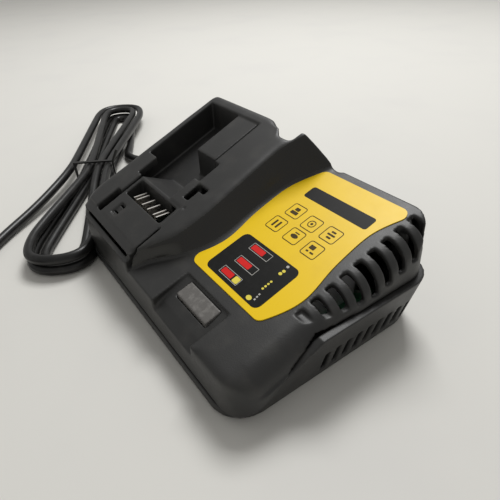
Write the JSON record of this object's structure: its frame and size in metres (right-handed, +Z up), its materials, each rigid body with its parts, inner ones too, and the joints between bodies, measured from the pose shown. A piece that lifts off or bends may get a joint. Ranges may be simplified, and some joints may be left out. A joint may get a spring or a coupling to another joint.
{
  "type": "battery_charger",
  "caption": "Power tool battery charger with a slide-in battery dock, a sloping label panel with status lights, side vents, and a tied mains cord with a two-pin plug.",
  "frame": {"origin": "On the surface that the feet stand on, under the middle of the housing. The free cord lies outside this measure.", "axes": "+Z up, +X to the right as the label reads, +Y to the rear"},
  "size_m": [0.327, 0.215, 0.0631],
  "materials": {
    "housing": "fine spark texture",
    "label": "satin printed film",
    "lens": "translucent grey",
    "contact": "bright plated",
    "carrier": "smooth",
    "board": "solder mask",
    "ferrite": "ground",
    "bobbin": "smooth",
    "winding": "taped",
    "can": "sleeved can",
    "metal": "plain",
    "steel": "zinc plated",
    "device": "moulded",
    "led": "clear red",
    "rubber": "matt",
    "cord": "smooth jacket",
    "fuse_glass": "clear"
  },
  "bodies": {
    "root": {"upper_housing": "housing", "lower_housing": "housing", "label_sheet": "label", "status_lens": "lens", "terminal_carrier": "carrier", "terminal_blades": "contact", "circuit_board": "board", "board_screws": "steel", "transformer_core": "ferrite", "transformer_bobbin": "bobbin", "transformer_winding": "winding", "input_capacitor": "can", "output_capacitors": "can", "line_choke": "ferrite", "fuse": "fuse_glass", "fuse_clips": "steel", "heat_sink": "metal", "power_device": "device", "status_leds": "led", "mains_block": "carrier", "housing_screws": "steel", "rubber_feet": "rubber", "strain_relief": "rubber", "inner_cord": "cord", "cord_saddle": "bobbin", "cord_lead_in": "cord", "cord_hank": "cord", "cord_tail": "cord", "hank_tie": "cord", "plug_neck": "rubber", "plug_body": "rubber", "plug_prongs": "steel"}
  },
  "joints": []
}
